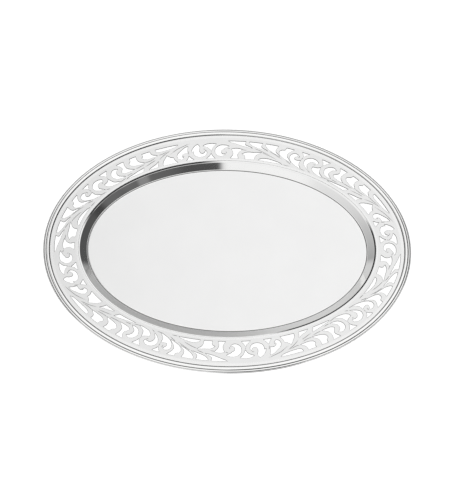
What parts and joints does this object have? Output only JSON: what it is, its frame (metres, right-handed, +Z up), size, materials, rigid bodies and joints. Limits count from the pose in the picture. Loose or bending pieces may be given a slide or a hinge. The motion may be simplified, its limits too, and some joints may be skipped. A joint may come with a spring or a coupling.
{
  "type": "oval serving tray",
  "caption": "Oval polished serving tray with a shallow well, a flat band of pierced scrollwork and a reeded border.",
  "frame": {"origin": "middle of the underside of the well, on the plane that the tray rests on", "axes": "+X along the long axis of the oval, +Y across it, +Z up out of the well"},
  "size_m": [0.45, 0.315, 0.012],
  "materials": {
    "polished_sheet": "silver sheet, softly buffed on the floor and mirror polished on the wall of the well",
    "satin_band": "satin silver, with bright edges to the openings",
    "polished_bead": "polished silver",
    "polished_edging": "polished silver"
  },
  "bodies": {
    "root": {"well_pan": "polished_sheet", "pierced_band": "satin_band", "rim_bead": "polished_bead", "reeded_edge": "polished_edging"}
  },
  "joints": []
}
